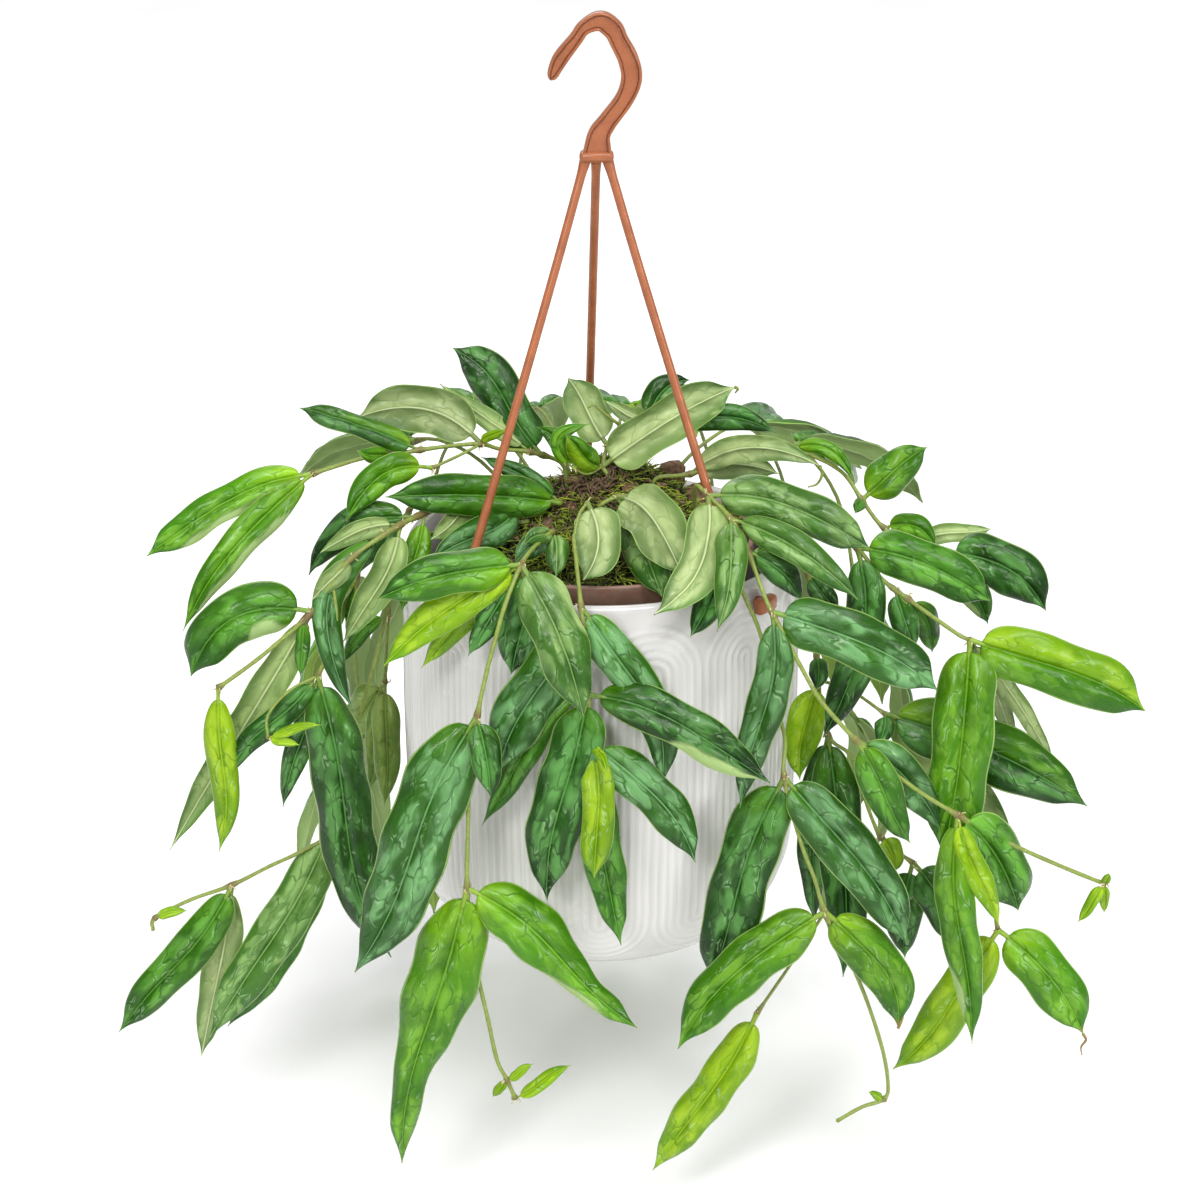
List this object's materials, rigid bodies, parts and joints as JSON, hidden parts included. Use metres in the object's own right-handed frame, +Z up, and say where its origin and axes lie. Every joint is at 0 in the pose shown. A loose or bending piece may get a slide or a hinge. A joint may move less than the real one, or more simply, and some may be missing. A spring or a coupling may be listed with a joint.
{
  "type": "potted hoya plant",
  "caption": "Hanging potted hoya with long trailing leafy stems, in a glazed white ceramic pot with an arch relief and a brown plastic hanger with a hook.",
  "frame": {"origin": "inner top of the hook, where it bears on the rail or ceiling hook that holds the plant up", "axes": "+Z up, the front of the plant towards -Y, +X to the viewer's right"},
  "size_m": [0.4081, 0.2529, 0.4612],
  "materials": {
    "ceramic": "glossy off-white glaze",
    "taupe_plastic": "satin taupe brown",
    "hanger_plastic": "semi-gloss terracotta brown",
    "soil": "matt, moss over bark mix",
    "leaf": "glossy green, netted"
  },
  "bodies": {
    "root": {"cachepot": "ceramic", "nursery_pot": "taupe_plastic", "potting_mix": "soil", "hanger": "hanger_plastic", "stem_left_top": "leaf", "stem_left_long": "leaf", "stem_left_low": "leaf", "stem_left_back": "leaf", "stem_front_left": "leaf", "stem_front_crown": "leaf", "stem_crown_top": "leaf", "stem_front_middle": "leaf", "stem_right_top": "leaf", "stem_right_middle": "leaf", "stem_right_long": "leaf", "stem_right_low": "leaf", "stem_right_back": "leaf", "stem_back_1": "leaf", "stem_back_2": "leaf", "stem_back_3": "leaf", "stem_back_4": "leaf", "stem_back_5": "leaf", "stem_back_6": "leaf", "stem_back_7": "leaf"}
  },
  "joints": []
}
